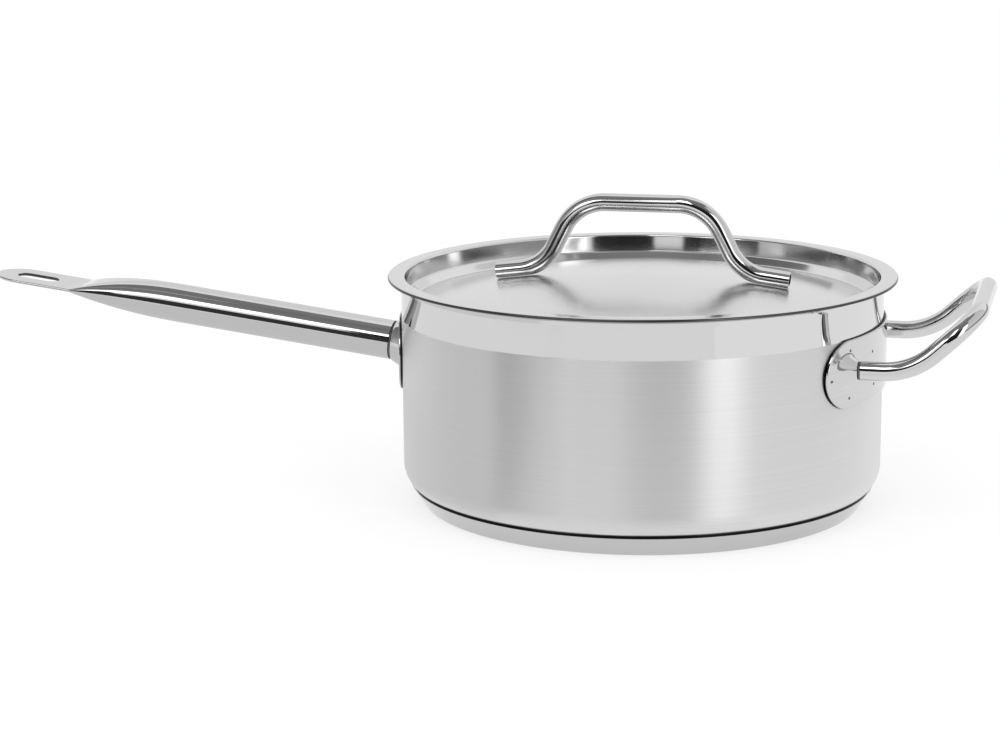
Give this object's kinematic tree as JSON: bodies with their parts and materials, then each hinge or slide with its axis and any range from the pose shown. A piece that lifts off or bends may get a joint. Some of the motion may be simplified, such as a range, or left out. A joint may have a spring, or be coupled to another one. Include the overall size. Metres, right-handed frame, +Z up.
{
  "type": "saucepan with lid",
  "caption": "Stainless steel saucepan with a thick capped base, a long tube handle with a hanging tab, a bent helper handle and a recessed lid with an arched handle.",
  "frame": {"origin": "on the pot's axis, at the plane that the base rests on", "axes": "+Z up along the pot's axis; +X towards the helper handle, so the long handle points along -X"},
  "size_m": [0.5266, 0.2552, 0.1548],
  "materials": {
    "pot_steel": "brushed round the body, polished band under the rim",
    "lid_steel": "spun and polished",
    "tube_steel": "polished",
    "bracket_steel": "polished",
    "base_steel": "polished",
    "weld_steel": "rough weld bead",
    "core_aluminium": "plain"
  },
  "bodies": {
    "pan": {"pot_shell": "pot_steel", "base_core": "core_aluminium", "base_cap": "base_steel", "handle_bracket": "bracket_steel", "handle_weld": "weld_steel", "long_handle": "tube_steel", "helper_bracket": "bracket_steel", "helper_weld_front": "weld_steel", "helper_weld_back": "weld_steel", "helper_handle": "tube_steel"},
    "lid": {"lid_pan": "lid_steel", "lid_handle": "tube_steel"}
  },
  "joints": [
    {"name": "lid_lift", "type": "slide", "parent": "pan", "child": "lid", "axis": [0, 0, 1], "range_m": [0, 0.2]}
  ]
}
